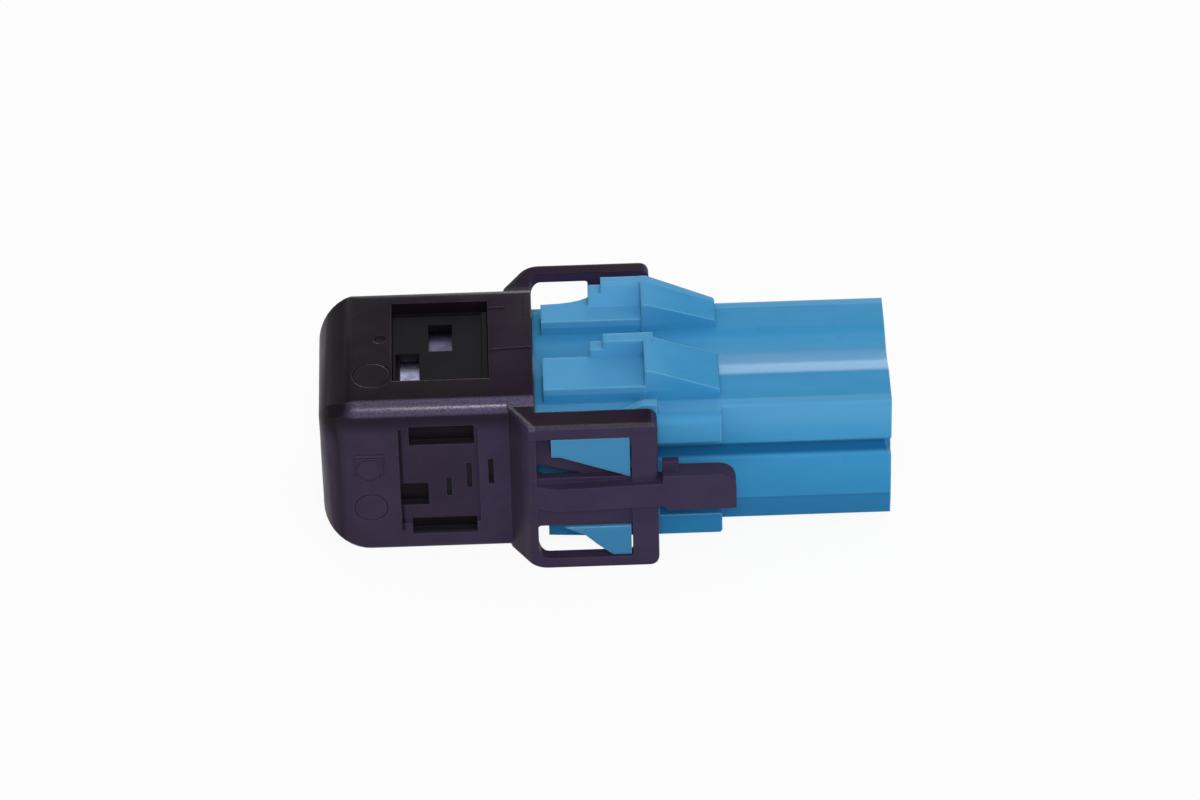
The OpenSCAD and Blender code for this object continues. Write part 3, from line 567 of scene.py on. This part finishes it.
# Folded sheet over a ferrule: a slightly crowned top and two legs down to the sleeve
def addCrest(name, place, spec, foot):
    (y0, y1), sheet, steps = place["y"], spec["sheet"], spec["steps"]
    outer = [(y0, foot)]
    for i in range(steps + 1):
        t = i / steps
        outer.append((y0 + (y1 - y0) * t, spec["top"] - spec["crown"] * (2 * t - 1) ** 2))
    outer.append((y1, foot))
    inner = [(min(max(y, y0 + sheet), y1 - sheet), z - (sheet if z > foot else 0)) for y, z in outer]
    bm = bmesh.new()
    loops = [[bm.verts.new(put(x, y, z)) for y, z in outer + inner[::-1]] for x in place["x"]]
    count = len(loops[0])
    for k in range(count):
        bm.faces.new((loops[0][k], loops[0][(k + 1) % count], loops[1][(k + 1) % count], loops[1][k]))
    for loop in loops:
        for k in range(len(outer) - 1):
            bm.faces.new((loop[k], loop[k + 1], loop[count - 2 - k], loop[count - 1 - k]))
    bmesh.ops.remove_doubles(bm, verts=bm.verts, dist=0.0005 * mm)
    addPiece(name, bm, "ferrule", spec["crease"])


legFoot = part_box("crimp_ferrule_1")[1][2] / mm - ferruleCrests["legOverlap"]
for name, place in ferruleCrests["places"].items():
    addCrest(name, place, ferruleCrests, legFoot)
print("ferrule crests added")

# Spring fingers in the mouths of the contact shells
springFingers = {
    "perContact": 6, "length": 2.5, "inside": 0.5, "gap": 0.12, "bulge": 0.14, "width": 1.15, "thickness": 0.14,
}


# One bowed finger, turned round each contact's axis, at every point of the start mesh
def makeFingerTree(sizes):
    tree, seed, given = newShapeTree("springFingers", sizes)
    radius, length = given["Radius"], given["Length"]
    tail = tree.combine(length * -1.0, 0.0, radius)
    crown = tree.combine(length * -0.45, 0.0, radius + given["Bulge"] * 2.0)
    tip = tree.combine(0.0, 0.0, radius)
    bow = tree.add("GeometryNodeCurveQuadraticBezier", {}, {
        "Resolution": 12, "Start": tail, "Middle": crown, "End": tip})
    section = tree.add("GeometryNodeCurvePrimitiveQuadrilateral", {}, {
        "Width": given["Width"], "Height": given["Thickness"]})
    strip = tree.add("GeometryNodeCurveToMesh", {}, {"Curve": bow, "Profile Curve": section, "Fill Caps": True})
    ring = tree.add("GeometryNodePoints", {}, {"Count": given["Count"]})
    share = tree.add("GeometryNodeInputIndex", {}, {}) / given["Count"]
    fingers = tree.add("GeometryNodeInstanceOnPoints", {}, {
        "Points": ring, "Instance": strip, "Rotation": tree.combine(share * (2 * math.pi), 0.0, 0.0)})
    mouths = tree.add("GeometryNodeMeshToPoints", {}, {"Mesh": seed})
    sets = tree.add("GeometryNodeInstanceOnPoints", {}, {"Points": mouths, "Instance": fingers})
    real = tree.add("GeometryNodeRealizeInstances", {}, {"Geometry": sets})
    coated = tree.add("GeometryNodeSetMaterial", {}, {"Geometry": real, "Material": finishes["shell"]})
    tree.add("NodeGroupOutput", {}, {0: coated}, out=())
    return tree


def addSpringFingers(spec):
    mouths = []
    for i in range(1, 5):
        low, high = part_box("contact_shell_%d" % i)
        reach = (spec["length"] - spec["inside"]) * mm
        mouths.append((high[0] + reach, (low[1] + high[1]) / 2, (low[2] + high[2]) / 2))
    low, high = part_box("dielectric_1")
    sizes = {
        "Count": spec["perContact"], "Radius": (high[1] - low[1]) / 2 + spec["gap"] * mm,
        "Length": spec["length"] * mm, "Bulge": spec["bulge"] * mm, "Width": spec["width"] * mm,
        "Thickness": spec["thickness"] * mm,
    }
    data = bpy.data.meshes.new("mouths")
    data.from_pydata(mouths, [], [])
    seed = bpy.data.objects.new("mouths", data)
    scene.collection.objects.link(seed)
    useTree(seed, makeFingerTree(sizes), sizes)
    made = bpy.data.meshes.new_from_object(seed.evaluated_get(bpy.context.evaluated_depsgraph_get()))
    bpy.data.objects.remove(seed)   # its modifier goes with it
    piece = bpy.data.objects.new("springFingers", made)
    scene.collection.objects.link(piece)
    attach(piece, "connector")
    print("spring fingers:", len(made.polygons), "faces")


addSpringFingers(springFingers)

stage = {"floorColour": (0.86, 0.86, 0.87), "floorGlow": 0.92, "ambient": 0.5, "reach": 3.0, "below": 0.02}
white = (1.0, 1.0, 1.0)


def addFloor(spec):
    far = spec["reach"]
    data = bpy.data.meshes.new("floor")
    data.from_pydata([(-far, -far, 0), (far, -far, 0), (far, far, 0), (-far, far, 0)], [], [(0, 1, 2, 3)])
    floor = bpy.data.objects.new("floor", data)
    scene.collection.objects.link(floor)
    floor.location.z = -spec["below"] * mm
    material = bpy.data.materials.new("paleFloor")
    material.use_nodes = True
    tree = Tree(material.node_tree)
    matt = tree.add("ShaderNodeBsdfDiffuse", {}, {"Color": spec["floorColour"]})
    glow = tree.add("ShaderNodeEmission", {}, {"Color": white, "Strength": 1.0})
    both = tree.add("ShaderNodeMixShader", {}, {0: tree.seenRays() * spec["floorGlow"], 1: matt, 2: glow})
    tree.add("ShaderNodeOutputMaterial", {}, {"Surface": both}, out=())
    data.materials.append(material)


def addWorld(spec):
    world = bpy.data.worlds.new("studio")
    scene.world = world
    world.use_nodes = True
    tree = Tree(world.node_tree)
    soft = tree.add("ShaderNodeBackground", {}, {"Color": white, "Strength": spec["ambient"]})
    plain = tree.add("ShaderNodeBackground", {}, {"Color": white, "Strength": 1.0})
    both = tree.add("ShaderNodeMixShader", {}, {0: tree.seenRays(), 1: soft, 2: plain})
    tree.add("ShaderNodeOutputWorld", {}, {"Surface": both}, out=())


lamps = {   # metres and watts
    "keyLamp": {"place": (0.0, -0.575, 0.575), "size": 0.26, "power": 2.45},
    "fillLamp": {"place": (0.5, -0.5, 0.3), "size": 0.5, "power": 0.9},
    "topLamp": {"place": (0.05, 0.2, 0.8), "size": 0.6, "power": 0.2},
    "backLamp": {"place": (0.1, 0.74, 0.18), "size": 0.26, "power": 1.6},
}


def addLamp(name, spec):
    data = bpy.data.lights.new(name, "AREA")
    data.shape = "DISK"
    data.size = spec["size"]
    data.energy = spec["power"]
    lamp = bpy.data.objects.new(name, data)
    scene.collection.objects.link(lamp)
    lamp.location = spec["place"]
    lamp.rotation_euler = (-Vector(spec["place"])).to_track_quat("-Z", "Y").to_euler()


addFloor(stage)
addWorld(stage)
for name, spec in lamps.items():
    addLamp(name, spec)
scene.view_settings.view_transform = "Standard"
print("stage and lamps placed")
